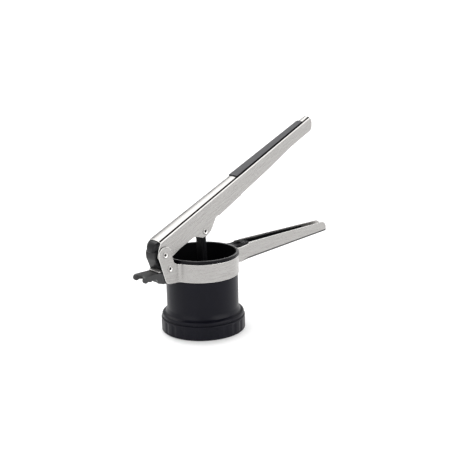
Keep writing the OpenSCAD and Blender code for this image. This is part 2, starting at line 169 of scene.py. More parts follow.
def plate(outline, thick, edge, holes=(), cuts_u=(), cuts_v=(), steps=3):
    """Flat plate with rounded edges in (u, v, depth), cut across where it will be bent."""
    bm = bmesh.new()
    turns = [math.pi / 2 * k / steps for k in range(steps + 1)]
    levels = [(edge * (1 - math.sin(t)), edge * (1 - math.cos(t))) for t in turns]
    levels += [(off, thick - depth) for off, depth in reversed(levels)]
    front, back = [], []
    for k, loop in enumerate([outline, *holes]):
        loop = spaced(loop)
        if (area(loop) > 0) != (k == 0):
            loop.reverse()
        rings = [[bm.verts.new((p.x, p.y, depth)) for p in inset(loop, off)] for off, depth in levels]
        for low, high in zip(rings, rings[1:]):
            for i in range(len(loop)):
                bm.faces.new((low[i - 1], low[i], high[i], high[i - 1]))
        front.append(rings[0])
        back.append(rings[-1])
    for rings in (front, back):
        if len(rings) == 1:
            bm.faces.new(rings[0])
            continue
        edges = [bm.edges.get((r[i - 1], r[i])) for r in rings for i in range(len(r))]
        border = set(edges)
        made = bmesh.ops.triangle_fill(bm, use_beauty=True, use_dissolve=False, edges=edges)
        faces = [g for g in made["geom"] if isinstance(g, bmesh.types.BMFace)]
        inner = dict.fromkeys(e for f in faces for e in f.edges if e not in border)
        bmesh.ops.dissolve_limit(bm, angle_limit=0.01, verts=[], edges=list(inner))
    for cuts, normal in ((cuts_u, (1, 0, 0)), (cuts_v, (0, 1, 0))):
        for at in cuts:
            where = Vector(normal) * at
            bmesh.ops.bisect_plane(bm, geom=everything(bm), dist=1e-5, plane_co=where, plane_no=normal)
    return bm


def on_rounding(at):
    """Whether a point of an unbent steel plate is on the rounding round its outer face."""
    return 0.01 < at.z < EDGE


def bend(bm, place):
    """Moves every point from (u, v, depth) to where place(u, v, depth) says."""
    for v in bm.verts:
        v.co = place(*v.co)
    return bm


def whole(bm):
    """Keeps the half with y > 0 and welds its mirror image to it."""
    bmesh.ops.bisect_plane(
        bm, geom=everything(bm), dist=1e-5, plane_co=(0, 0, 0), plane_no=(0, 1, 0), clear_inner=True
    )
    bmesh.ops.mirror(bm, geom=everything(bm), matrix=Matrix.Identity(4), merge_dist=1e-3, axis="Y")
    return bm


def lathe(profile, segments=144, shift=None):
    """Closed profile of (r, z) points turned about Z. shift(r, z, angle) gives a new radius."""
    bm = bmesh.new()
    profile = spaced(profile)
    rings = []
    for k in range(segments):
        a = math.tau * k / segments
        radii = [shift(p.x, p.y, a) if shift else p.x for p in profile]
        rings.append(
            [bm.verts.new((r * math.cos(a), r * math.sin(a), p.y)) for r, p in zip(radii, profile)]
        )
    for k in range(segments):
        a, b = rings[k - 1], rings[k]
        for i in range(len(profile)):
            bm.faces.new((a[i - 1], b[i - 1], b[i], a[i]))
    bmesh.ops.remove_doubles(bm, verts=bm.verts[:], dist=1e-4)
    return bm


def slab(outline, half, edge, half_at=None, holes=()):
    """Outline in X and Z made thick in Y, centred on Y = 0. half_at(x) lets the sides taper."""
    bm = plate(outline, 2 * half, edge, holes)
    return bend(bm, lambda x, z, d: Vector((x, (half_at(x) if half_at else half) * (1 - d / half), z)))


# ------------------------------------------------------------------ pieces


def piece(name, bm, place, materials, body, slot, *nodes):
    """Turns a mesh into a named piece that rides on a body and stands for CAD nodes."""
    bmesh.ops.recalc_face_normals(bm, faces=bm.faces[:])
    bm.transform(place)
    mesh = bpy.data.meshes.new(name)
    bm.to_mesh(mesh)
    bm.free()
    mesh.polygons.foreach_set("use_smooth", [True] * len(mesh.polygons))
    for m in materials:
        mesh.materials.append(m)
    obj = bpy.data.objects.new(name, mesh)
    bpy.context.scene.collection.objects.link(obj)
    obj.modifiers.new("even_normals", "WEIGHTED_NORMAL").keep_sharp = True
    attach(obj, body)
    if nodes:
        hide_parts(*nodes)
    return obj


def moulded(name, node, material, body, slot, voxel=0.32, rounds=5):
    """A moulded piece with softly rounded edges, grown from the CAD node's own shape."""
    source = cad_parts[node]
    work = bpy.data.objects.new("work", source.data.copy())
    bpy.context.scene.collection.objects.link(work)
    work.modifiers.new("weld", "WELD").merge_threshold = 1e-6
    remesh = work.modifiers.new("remesh", "REMESH")
    remesh.mode = "VOXEL"
    remesh.voxel_size = voxel * MM
    smooth = work.modifiers.new("smooth", "SMOOTH")
    smooth.iterations = rounds
    smooth.factor = 0.6
    shape = bpy.data.meshes.new_from_object(work.evaluated_get(bpy.context.evaluated_depsgraph_get()))
    bpy.data.objects.remove(work)
    bm = bmesh.new()
    bm.from_mesh(shape)
    bpy.data.meshes.remove(shape)
    return piece(name, bm, Matrix.Identity(4), [material], body, slot, node)


# ------------------------------------------------------------------ materials

# dark and light tones
SATIN = ((0.335, 0.326, 0.317), (0.385, 0.377, 0.367))
# painted highlight: light tones for glints on the rivet dishes and the stop plate, and bright lines on
# rounded sheet edges
PAINTED_HIGHLIGHT_TONES = ((0.7, 0.69, 0.67), (0.8, 0.79, 0.77))
# painted shade: near-black tones for the dark line along the lower handle's bottom bend
PAINTED_SHADE_TONES = ((0.03, 0.03, 0.03), (0.05, 0.05, 0.05))
RUBBER = ((0.062, 0.062, 0.066), (0.09, 0.09, 0.095))

SCRATCH_DEPTH = 0.000012        # metres, as are the two below
STIPPLE_DEPTH = 0.00008
SKIN_DEPTH = 0.00003


def linked(tree, kind, **inputs):
    """A shader node with its inputs set, or linked where a socket is given."""
    node = tree.nodes.new(kind)
    for key, value in inputs.items():
        socket = node.inputs[key.replace("_", " ")]
        if isinstance(value, bpy.types.NodeSocket):
            tree.links.new(value, socket)
        else:
            socket.default_value = value
    return node


def base_material(name, metallic, specular, **values):
    """A new material, its node tree and its shader, with plain values set on the shader."""
    m = bpy.data.materials.new(name)
    m.use_nodes = True
    shader = m.node_tree.nodes["Principled BSDF"]
    shader.inputs["Metallic"].default_value = metallic
    shader.inputs["Specular IOR Level"].default_value = specular
    for key, value in values.items():
        shader.inputs[key.replace("_", " ")].default_value = value
    return m, m.node_tree, shader


def grain(tree, scale, stretch=(1, 1, 1), turn=0.0, detail=3.0):
    """Noise in the piece's own space: stretch shortens it along X, Y and Z after a turn about Y."""
    where = tree.nodes.new("ShaderNodeTexCoord").outputs["Object"]
    flat = linked(tree, "ShaderNodeMapping", Vector=where, Rotation=(0, turn, 0))
    drawn = linked(tree, "ShaderNodeMapping", Vector=flat.outputs["Vector"], Scale=stretch)
    noise = linked(
        tree, "ShaderNodeTexNoise", Vector=drawn.outputs["Vector"], Scale=scale, Detail=detail
    )
    return noise.outputs["Fac"]


def spread(tree, value, low, high, start=0.3, end=0.7):
    """A value stretched from start..end to low..high."""
    node = linked(tree, "ShaderNodeMapRange", Value=value, From_Min=start, From_Max=end)
    node.inputs["To Min"].default_value = low
    node.inputs["To Max"].default_value = high
    return node.outputs["Result"]


def colour_mix(tree, share):
    """A colour mix node, its two colour sockets and its colour output."""
    mix = tree.nodes.new("ShaderNodeMix")
    mix.data_type = "RGBA"
    tree.links.new(share, mix.inputs[0])
    return mix, mix.inputs[6], mix.inputs[7], mix.outputs[2]


def two_tone(tree, value, dark, light):
    """A colour between two tones."""
    _, first, second, out = colour_mix(tree, value)
    first.default_value = (*dark, 1)
    second.default_value = (*light, 1)
    return out


def darkened(tree, colour, share, darkest):
    """A colour multiplied by a grey, as far as a share from 0 to 1 says."""
    mix, first, second, out = colour_mix(tree, share)
    mix.blend_type = "MULTIPLY"
    tree.links.new(colour, first)
    second.default_value = (darkest, darkest, darkest, 1)
    return out


def joined(tree, operation, first, second):
    """Two values put together by a maths node."""
    node = linked(tree, "ShaderNodeMath", Value=first)
    node.operation = operation
    tree.links.new(second, node.inputs[1])
    return node.outputs[0]


def bump(tree, height, distance):
    """A normal roughened by a height, distance deep in metres."""
    node = linked(tree, "ShaderNodeBump", Height=height, Distance=distance, Strength=1.0)
    return node.outputs["Normal"]


def facing_share(tree, none_at, full_at, normal="Normal"):
    """How far the surface has turned up or down, from 0 to 1 between two values of its normal's Z."""
    way = tree.nodes.new("ShaderNodeNewGeometry").outputs[normal]
    height = linked(tree, "ShaderNodeSeparateXYZ", Vector=way).outputs["Z"]
    share = linked(tree, "ShaderNodeMapRange", Value=height, From_Min=none_at, From_Max=full_at)
    return share.outputs["Result"]


def shaded_facing(tree, colour, darkest, none_at, full_at, normal="Normal"):
    """Darkens a colour as the surface turns up or down."""
    return darkened(tree, colour, facing_share(tree, none_at, full_at, normal), darkest)


def painted_bend_shade(tree, colour, darkest):
    """Paints a dark reflection on the long bends beside a crown, darkening the colour there."""
    way = tree.nodes.new("ShaderNodeTexCoord").outputs["Normal"]
    normal = linked(tree, "ShaderNodeSeparateXYZ", Vector=way)
    side = linked(tree, "ShaderNodeMath", Value=normal.outputs["Y"])
    side.operation = "ABSOLUTE"
    off_crown = spread(tree, side.outputs[0], 0, 1, 0.19, 0.3)
    off_cheek = spread(tree, side.outputs[0], 1, 0, 0.78, 0.88)
    outer_face = spread(tree, normal.outputs["Z"], 0, 1, 0.4, 0.55)
    on_bend = joined(tree, "MULTIPLY", off_crown, off_cheek)
    return darkened(tree, colour, joined(tree, "MULTIPLY", on_bend, outer_face), darkest)


def brushed_steel(name, along, turn=0.0, tones=SATIN, rough=0.27, bends=1.0, top=1.0, below=0.3):
    """Satin stainless steel. along stretches the brush lines; turn follows a leaning piece.

    bends paints a dark reflection on its long bends and below paints shade on its under side; top also
    blackens its top.
    """
    m, tree, shader = base_material(name, 1.0, 0.5)
    lines = grain(tree, 900, along, turn, 2)
    speckle = grain(tree, 1400, detail=2)
    smears = grain(tree, 28, detail=4)
    mixed = spread(tree, joined(tree, "ADD", lines, speckle), 0, 1, 0.8, 1.2)
    # painted shade: the tone darkens as the surface turns to face down
    tone = shaded_facing(tree, two_tone(tree, mixed, *tones), below, -0.1, -0.75)
    # painted dark reflection along the long bends beside the crown
    if bends < 1:
        tone = painted_bend_shade(tree, tone, bends)
    if top < 1:
        tone = shaded_facing(tree, tone, top, 0.75, 0.95, "True Normal")
        tree.links.new(facing_share(tree, 0.95, 0.75, "True Normal"), shader.inputs["Metallic"])
    tree.links.new(tone, shader.inputs["Base Color"])
    fine = spread(tree, mixed, rough - 0.05, rough + 0.06, 0, 1)
    worn = joined(tree, "ADD", fine, spread(tree, smears, -0.03, 0.04))
    tree.links.new(worn, shader.inputs["Roughness"])
    tree.links.new(bump(tree, mixed, SCRATCH_DEPTH), shader.inputs["Normal"])
    return m


def moulded_plastic(name, dark, light, rough, specular, dust_and_sheen=0.0):
    """Black moulded nylon: a fine spark-eroded skin with flow marks and a dusty sheen that lightens it at
    grazing angles.
    """
    m, tree, shader = base_material(name, 0.0, specular, Sheen_Weight=dust_and_sheen, Sheen_Roughness=0.3)
    skin = grain(tree, 2600, detail=2)
    flow = grain(tree, 40, (1, 1, 0.35), detail=4)
    tree.links.new(two_tone(tree, spread(tree, flow, 0, 1), dark, light), shader.inputs["Base Color"])
    tree.links.new(spread(tree, flow, rough - 0.04, rough + 0.05), shader.inputs["Roughness"])
    tree.links.new(bump(tree, skin, SKIN_DEPTH), shader.inputs["Normal"])
    return m


def soft_rubber(name):
    """Matt soft moulding of the grip, with a dusty bloom over a fine stipple."""
    m, tree, shader = base_material(name, 0.0, 0.3)
    stipple = grain(tree, 1500, detail=1)
    bloom = grain(tree, 60, detail=5)
    tone = two_tone(tree, spread(tree, bloom, 0, 1), *RUBBER)
    tree.links.new(tone, shader.inputs["Base Color"])
    tree.links.new(spread(tree, bloom, 0.55, 0.7), shader.inputs["Roughness"])
    tree.links.new(bump(tree, stipple, STIPPLE_DEPTH), shader.inputs["Normal"])
    return m


# painted dark reflection along the bends beside the crown
steel_up = brushed_steel("steel_upper_handle", (0.06, 1, 1), LEAN, bends=0.07)
steel_band = brushed_steel("steel_band", (0.06, 0.06, 1))
steel_pin = brushed_steel("steel_rivets", (1, 1, 1), rough=0.25)
# painted highlight: a light glint painted on the rivets' dished heads
steel_dish_glint = brushed_steel("steel_dish_glint", (1, 1, 1), tones=PAINTED_HIGHLIGHT_TONES, rough=0.2)
# painted highlight: light tones on the sheets' rounded edges, not darkened below
steel_edge_highlight = brushed_steel("steel_edge_highlight", (1, 1, 1), tones=PAINTED_HIGHLIGHT_TONES, rough=0.2, below=1.0)
# painted shade: a dark line painted along the lower handle's bottom bend
steel_hem_painted_shade = brushed_steel("steel_hem_painted_shade", (0.06, 1, 1), tones=PAINTED_SHADE_TONES)
# painted highlight: light tones make the stop plate's edges read as a bright glint line; its top is
# blackened
steel_stop_glint = brushed_steel("steel_stop_glint", (1, 0.06, 1), tones=PAINTED_HIGHLIGHT_TONES, top=0.02)
steel_sieve = brushed_steel("steel_sieve", (0.1, 1, 1), rough=0.34)
black_drum = moulded_plastic(
    "black_hopper", (0.003, 0.003, 0.006), (0.0045, 0.0045, 0.0085), 0.36, 0.12, dust_and_sheen=0.07
)
black_lip = moulded_plastic("black_lip", (0.002, 0.002, 0.003), (0.003, 0.003, 0.004), 0.2, 0.1)
# painted highlight: a lighter, glossier copy of the lip's plastic, with strong sheen, for a light line
# along the rim's top
black_rim_highlight = moulded_plastic(
    "black_rim_highlight", (0.003, 0.003, 0.004), (0.005, 0.005, 0.006), 0.25, 0.6, dust_and_sheen=0.6
)
# painted shade: a darker, less glossy copy of the hopper's plastic for the inside of the bore
black_inside_shaded = moulded_plastic(
    "black_inside_shaded", (0.002, 0.002, 0.0025), (0.003, 0.003, 0.0035), 0.45, 0.04
)
black_hinge = moulded_plastic(
    "black_hinge", (0.003, 0.003, 0.0035), (0.005, 0.005, 0.006), 0.27, 0.22
)
black_rest = moulded_plastic("black_rest", (0.004, 0.004, 0.0045), (0.006, 0.006, 0.007), 0.32, 0.6)
black_liner = moulded_plastic(
    "black_liner", (0.003, 0.003, 0.0035), (0.004, 0.004, 0.005), 0.45, 0.08
)
# painted shade: near-black colour for the walls of the rivets' pits
pit = moulded_plastic("rivet_pit_shade", (0.004, 0.004, 0.004), (0.01, 0.009, 0.008), 0.7, 0.1)
grip_grey = soft_rubber("grip_rubber")

# ------------------------------------------------------------------ hopper and turning base


OUTSIDE, LIP, INSIDE, RIM = range(4)


def hopper_skin(at):
    """Which of the hopper's materials a part of it has: the rim's top takes a lit copy that paints a
    highlight line, the bore a darker copy that paints shade.
    """
    if at.z > RIM_Z - 0.35:
        return RIM
    if at.z > BAND_TOP + 0.2:
        return LIP
    return INSIDE if at.xy.length < BORE_R + 0.3 else OUTSIDE


def build_hopper():
    """The turned shell with its flared foot, and the key block under the rim."""
    sieve_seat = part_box("sieve_disc")[0].z / MM
    ledge_r = 38.9
    ledge_z = BASE_H + 0.3
    lip_r = SHELL_R + 1.9
    lip_z = BAND_TOP + 0.3
    skirt_in, skirt_out, skirt_z = 43.0, 44.4, 14.2
    profile = rounded([
        (ledge_r, ledge_z, 0.3), (skirt_in, ledge_z, 0), (skirt_in, skirt_z, 0.2),
        (skirt_out, skirt_z, 0.2), (skirt_out, ledge_z, 0), (BASE_R - 1.1, ledge_z, 0.6),
        (BASE_R - 1.1, 21.9, 2.4), (BASE_R - 5.4, 22.7, 2.2), (SHELL_R, 28, 6.5),
        (SHELL_R, lip_z, 0.15), (lip_r, lip_z, 0.45), (lip_r, RIM_Z, 1.3), (BORE_R, RIM_Z, 0.8),
        (BORE_R, sieve_seat, 0), (ledge_r, sieve_seat, 0.3),
    ])
    shell = lathe(profile)
    for face in shell.faces:
        face.material_index = hopper_skin(face.calc_center_median())
    skins = [black_drum, black_lip, black_inside_shaded, black_rim_highlight]
    piece("hopper_shell", shell, about_axis, skins, "frame", "black_plastic", "hopper")
    key_from, key_to, key_top = SHELL_R - 0.5, 51.5, RIM_Z - 1.2
    outline = rounded([
        (key_from, 80.7, 0.4), (key_to, 80.7, 0.8), (key_to, key_top, 1.2), (key_from, key_top, 0.3),
    ])
    key_half, key_taper = 9.4, 0.08
    key = slab(outline, key_half, 0.6, lambda x: key_half - key_taper * (x - key_from))
    piece("hopper_key", key, about_axis, [black_drum], "frame", "black_plastic")


def build_base_ring():
    """The turning base, with shallow finger scoops that fade out above and below."""
    scoops, scoop_r, scoop_deep = 24, 15, 0.5
    reach = BASE_R + scoop_r - scoop_deep

    def scooped(r, z, angle):
        if r < BASE_R - 2:
            return r
        pitch = math.tau / scoops
        off = (angle % pitch) - pitch / 2
        room = scoop_r**2 - (reach * math.sin(off)) ** 2
        if room <= 0:
            return r
        depth = max(0.0, BASE_R - (reach * math.cos(off) - math.sqrt(room)))
        low = min(1, max(0, (z - 2.2) / 0.9))
        high = min(1, max(0, (15.6 - z) / 0.7))
        return r - depth * low * low * (3 - 2 * low) * high * high * (3 - 2 * high)

    top, bottom = 15.9, 2.2
    wall = [(BASE_R, bottom + (top - bottom) * k / 26, 0) for k in range(27)]
    profile = rounded([
        (45, 0, 0.5), (48.2, 0, 0.5), (BASE_R, 0.9, 1.0), *wall, (BASE_R, BASE_H, 1.2),
        (44.7, BASE_H, 0.3), (44.7, 13.9, 0.2), (42.7, 13.9, 0.2), (42.7, BASE_H, 0.3),
        (38.5, BASE_H, 0.2), (38.5, 18.85, 0.2), (36, 18.85, 0.3), (36, 11.5, 0.5), (45, 11.5, 1.5),
    ], 4)
    ring = lathe(profile, scoops * 16, scooped)
    piece("base_ring", ring, about_axis, [black_drum], "dial", "black_plastic", "dial_ring")


# ------------------------------------------------------------------ band, ears and lower handle

HEM = 4.7          # length of the lower handle's bottom bend in the flat sheet
HALF_FLOOR = 8     # its half floor in the flat sheet, before it is fitted to the real width
PAST_CENTRE = -HEM - HALF_FLOOR - 2
FLOOR_FROM = 52


def plan_segments():
    """The band's plan line on one side: (distance so far, point, heading, curvature)."""
    back = math.asin((EAR_HALF + SHEET_BEND) / (BAND_R + SHEET_BEND))
    front = math.asin((LOW_HALF + SHEET_BEND) / (BAND_R + SHEET_BEND))
    ear_end = (BAND_R + SHEET_BEND) * math.cos(back)
    round_turn = math.pi - back - front + LOW_TURN
    steps = [
        (-EAR_START - ear_end, 0),
        (SHEET_BEND * (math.pi / 2 - back), 1 / SHEET_BEND),
        (BAND_R * round_turn, -1 / BAND_R),
        (SHEET_BEND * (math.pi / 2 - front), 1 / SHEET_BEND),
        (300, 0),
    ]
    out, at, point, heading = [], 0.0, Vector((EAR_START, EAR_HALF)), 0.0
    for length, curve in steps:
        out.append((at, point.copy(), heading, curve))
        point = along(out[-1], length)[0]
        heading += length * curve
        at += length
    return out


def along(segment, run):
    """Point and heading at a distance along one segment of the plan line."""
    at, point, heading, curve = segment
    if curve == 0:
        return point + Vector((math.cos(heading), math.sin(heading))) * run, heading
    turned = heading + curve * run
    step = Vector((math.sin(turned) - math.sin(heading), math.cos(heading) - math.cos(turned)))
    return point + step / curve, turned


PLAN = plan_segments()
BACK_BEND, ROUND, FRONT_BEND, STRAIGHT = (s[0] for s in PLAN[1:])


def low_x(s):
    """X on the lower handle, from the distance round the plan."""
    return PLAN[4][1].x + (s - STRAIGHT) * math.cos(LOW_TURN)


def low_s(x):
    """The distance round the plan, from X on the lower handle."""
    return STRAIGHT + (x - PLAN[4][1].x) / math.cos(LOW_TURN)


def low_floor(x):
    """Height of the lower handle's under side."""
    return 72.3 + 0.0634 * (x - 51)


def hem_radius(x):
    """The bottom bend opens from a sharp fold to its full radius as the handle leaves the band."""
    t = min(1, max(0, (x - FLOOR_FROM) / 14))
    return 0.4 + 2.6 * t * t * (3 - 2 * t)


def hem_z(x):
    """Height where the cheek meets the bottom bend."""
    x = max(x, FLOOR_FROM)
    return low_floor(x) + hem_radius(x)


def band_place(s, w, depth, lift=0.0):
    """From the flat sheet to the bent one: s runs round the plan, w is the height over the bend."""
    segment = [p for p in PLAN if p[0] <= s][-1] if s > 0 else PLAN[0]
    point, heading = along(segment, s - segment[0])
    out = Vector((-math.sin(heading), math.cos(heading), 0))
    flat = Vector((point.x, point.y, 0))
    depth -= lift
    x = low_x(s)
    if w >= 0 or x < FLOOR_FROM - 1e-3:
        return flat + Vector((0, 0, hem_z(x) + w)) - out * depth
    r = hem_radius(x)
    if w >= -HEM:
        turn = -w / HEM * math.pi / 2
        normal = out * math.cos(turn) - Vector((0, 0, math.sin(turn)))
        return flat - out * r + Vector((0, 0, hem_z(x))) + normal * (r - depth)
    share = (w + HEM + HALF_FLOOR) / HALF_FLOOR
    inner = flat - out * r
    return Vector((inner.x, inner.y * share, low_floor(x) + depth))


def ear_corner(x, z, r):
    """A corner on an ear, given where it lies in side view, for the flat sheet's outline."""
    return x - EAR_START, z - hem_z(0), r


def low_corner(x, z, r):
    """The same for a corner on the lower handle."""
    return low_s(x), z - hem_z(x), r


def band_cuts():
    """Where the sheet is cut so that it can follow the band's bends."""
    s = [BACK_BEND + (ROUND - BACK_BEND) * k / 8 for k in range(9)]
    s += [ROUND + (FRONT_BEND - ROUND) * k / 48 for k in range(1, 48)]
    s += [FRONT_BEND + (STRAIGHT - FRONT_BEND) * k / 8 for k in range(9)]
    return s


def handle_cuts(x_from, x_to):
    """Where the lower handle's sheet is cut between two stations."""
    hem = [low_s(x) for x in range(FLOOR_FROM + 2, 68, 2) if x_from < x < x_to]
    return hem + [low_s(x) for x in range(72, 204, 12) if x_from < x < x_to]


HEM_CUTS = [-HEM * k / 6 for k in range(7)] + [-HEM - HALF_FLOOR * k / 3 for k in range(1, 4)]


def build_band():
    """Ears, band and lower handle, bent from one flat sheet and mirrored."""
    low, top = BAND_LOW - hem_z(0), BAND_TOP - hem_z(0)
    ear_top = ear_corner(HINGE_X - EAR_R, HINGE_Z + EAR_R, EAR_R)
    outline = rounded([
        ear_top, ear_corner(HINGE_X - 9.3, 101.6, 6),
        ear_corner(-61.2, BAND_LOW + 0.8, 8), ear_corner(-46, BAND_LOW, 20),
        (STRAIGHT - 15, low, 12), (STRAIGHT + 0.3, -0.8, 6), (low_s(FLOOR_FROM), 0, 0.4),
        (low_s(FLOOR_FROM), PAST_CENTRE, 0), (low_s(LOW_TIP), PAST_CENTRE, 0),
        low_corner(LOW_TIP, 95.7, 9), low_corner(66.9, 94.5, 1), low_corner(65.2, 92.3, 1.2),
        low_corner(52, 91.1, 12), (STRAIGHT - 9, top, 20), (BACK_BEND + 1.2, top, 6),
        ear_corner(-49.6, 93.4, 5), ear_corner(HINGE_X + 9.4, HINGE_Z - 2, 4),
        ear_corner(HINGE_X + EAR_R, HINGE_Z + EAR_R, EAR_R),
    ], 8)
    holes = []
    for node in ("pivot_rivet", "block_rivet"):
        at = (middle(node) - axis) / MM
        s, w, _ = ear_corner(at.x, at.z, 0)
        holes.append(disc_loop(s, w, PIN_HOLE_R))
    plain, hem, edge_highlight = range(3)
    bm = plate(outline, STEEL, EDGE, holes, band_cuts() + handle_cuts(0, 300), HEM_CUTS)
    for face in bm.faces:
        at = face.calc_center_median()
        # painted shade on the outer face of the bottom bend's first half
        on_hem = -HEM / 2 < at.y < 0 and at.z < EDGE and at.x > low_s(FLOOR_FROM)
        # the rounded edges get light tones: a painted highlight
        face.material_index = hem if on_hem else edge_highlight if on_rounding(at) else plain
    bend(bm, band_place)
    steels = [steel_band, steel_hem_painted_shade, steel_edge_highlight]
    piece("band_and_handle", whole(bm), about_axis, steels, "frame", "satin_steel", "band_frame")


def build_liner():
    """Dark lining inside the lower handle, bent like the steel but one sheet further in."""
    start, end, room = 69, 176, 0.04
    outline = rounded([
        (low_s(start), PAST_CENTRE, 0), (low_s(end + 2), PAST_CENTRE, 0),
        (low_s(end + 1), 0, 3), low_corner(end - 6, 93.6, 4), low_corner(start, 92.8, 1),
    ])
    bm = plate(outline, 1.25, 0.3, (), handle_cuts(start, end), HEM_CUTS)
    bend(bm, lambda s, w, d: band_place(s, w, d, -STEEL - room))
    piece("lower_liner", whole(bm), about_axis, [black_liner], "frame", "black_plastic", "handle_liner")


# ------------------------------------------------------------------ upper handle and its grip

SHOULDER = 5       # length of the bend beside the crown in the flat sheet
HALF_CROWN = 6     # the half crown in the flat sheet, before it is fitted to the real width
OVER_CENTRE = -SHOULDER - HALF_CROWN - 2
CROWN_SLOPE = math.radians(9.5)


def up_half(x):
    """Half width of the upper handle."""
    return 10.7 - 0.0195 * x


def up_bend(x):
    """Outer radius of the bend beside the crown."""
    return 3.3 - 0.3 * x / UP_LENGTH


def cheek_top(x):
    """Height where the cheek meets the bend beside the crown."""
    return 17.4 - 3.6 * x / UP_LENGTH - up_bend(x)


def up_place(x, w, depth, lift=0.0):
    """From the flat sheet to the bent one: x runs along the handle, w goes down the cheek."""
    depth -= lift
    r = up_bend(x)
    if w >= 0:
        return Vector((x, up_half(x) - depth, cheek_top(x) - w))
    last = math.pi / 2 - CROWN_SLOPE
    if w >= -SHOULDER:
        turn = -w / SHOULDER * last
        y = up_half(x) - r + (r - depth) * math.cos(turn)
        return Vector((x, y, cheek_top(x) + (r - depth) * math.sin(turn)))
    share = (w + SHOULDER + HALF_CROWN) / HALF_CROWN
    side = up_half(x) - r + r * math.cos(last)
    rise = side * math.tan(CROWN_SLOPE) / 2
    slope = math.tan(CROWN_SLOPE) * share
    normal = Vector((0, slope, 1)).normalized()
    top = cheek_top(x) + r * math.sin(last) + rise * (1 - share * share)
    return Vector((x, side * share, top)) - normal * depth


def up_corner(x, z, r):
    """A corner on a cheek, given where it lies in side view, for the flat sheet's outline."""
    return x, cheek_top(x) - z, r


UP_CUTS_V = [-SHOULDER * k / 8 for k in range(9)]
UP_CUTS_V += [-SHOULDER - HALF_CROWN * k / 4 for k in range(1, 4)]


def build_upper_handle():
    """The upper handle's channel, bent from one flat sheet and mirrored."""
    eye_r = 9.3
    pin = about_hinge.inverted() @ middle("plunger_rivet")
    outline = rounded([
        (2, OVER_CENTRE, 0), (2, -0.6, 1.5), up_corner(-1.2, 12.4, 3), up_corner(-eye_r, 3, 5),
        up_corner(-eye_r, -eye_r, eye_r), up_corner(8, -8.8, 10), up_corner(22, -7.5, 30),
        up_corner(46, -8.3, 8), up_corner(55.5, -17.3, 3), up_corner(pin.x, -18.6, 5),
        up_corner(70, -16.9, 4), up_corner(84, -7.1, 5), up_corner(90, -8.7, 5),
        up_corner(128.4, -7.5, 1), up_corner(129.8, -6.8, 1), up_corner(182, -5.2, 60),
        up_corner(225, -2.4, 60), up_corner(265.5, -3.1, 7), up_corner(UP_TIP + 0.4, 6, 9),
        (UP_TIP - 0.7, -SHOULDER, 2), (UP_TIP - 1.2, OVER_CENTRE, 0),
    ], 8)
    holes = [disc_loop(0, cheek_top(0), PIN_HOLE_R + 0.03)]
    holes.append(disc_loop(pin.x, cheek_top(pin.x) - pin.z, PIN_HOLE_R))
    cuts = [6 + 12 * k for k in range(22)]
    plain, edge_highlight = range(2)
    bm = plate(outline, STEEL, EDGE, holes, cuts, UP_CUTS_V)
    for face in bm.faces:
        # the rounded edges get light tones: a painted highlight
        face.material_index = edge_highlight if on_rounding(face.calc_center_median()) else plain
    bend(bm, up_place)
    steels = [steel_up, steel_edge_highlight]
    piece("upper_handle_steel", whole(bm), about_hinge, steels, "handle", "satin_steel", "upper_handle")


def build_grip():
    """Soft pad over the crown, reaching part of the way round the bends; it is black on its sides and
    under side, and where it turns round the bends.
    """
    thick, seat = 1.55, 0.03
    side, black_from = -SHOULDER * 0.4, -SHOULDER * 0.8
    outline = rounded([
        (GRIP_FROM, OVER_CENTRE, 0), (GRIP_TO, OVER_CENTRE, 0),
        (GRIP_TO, side, 1.2), (GRIP_FROM, side, 1.2),
    ])
    cuts = [GRIP_FROM + 10 + 10 * k for k in range(12)]
    bm = plate(outline, thick, 0.5, (), cuts, UP_CUTS_V)
    for face in bm.faces:
        at = face.calc_center_median()
        face.material_index = 1 if at.z > 0.25 or at.y > black_from else 0
    bend(bm, lambda x, w, d: up_place(x, w, d, thick + seat))
    rubbers = [grip_grey, black_liner]
    piece("soft_grip", whole(bm), about_hinge, rubbers, "handle", "soft_grip", "grip_insert")


# ------------------------------------------------------------------ hinge end


def build_barrel():
    """Spacer on the hinge pin, with a tail that curves down behind it."""
    outline = rounded([
        (-11.7, 4.2, 1.0), (-12.35, 0.4, 6), (-12.1, -4, 10), (-7.2, -15.9, 1), (-4.8, -16.3, 1),
        (-6, -9.5, 3), (-3, -8.2, 2), (8.6, -8.6, 8.4), (8.6, 8.6, 8.4), (-1, 9.2, 2),
    ], 8)
    barrel = slab(outline, 9.0, 0.7, holes=[disc_loop(0, 0, 3.1)])
    piece(
        "hinge_barrel_moulding", barrel, upright_at_hinge, [black_hinge], "handle", "black_plastic",
        "hinge_barrel",
    )


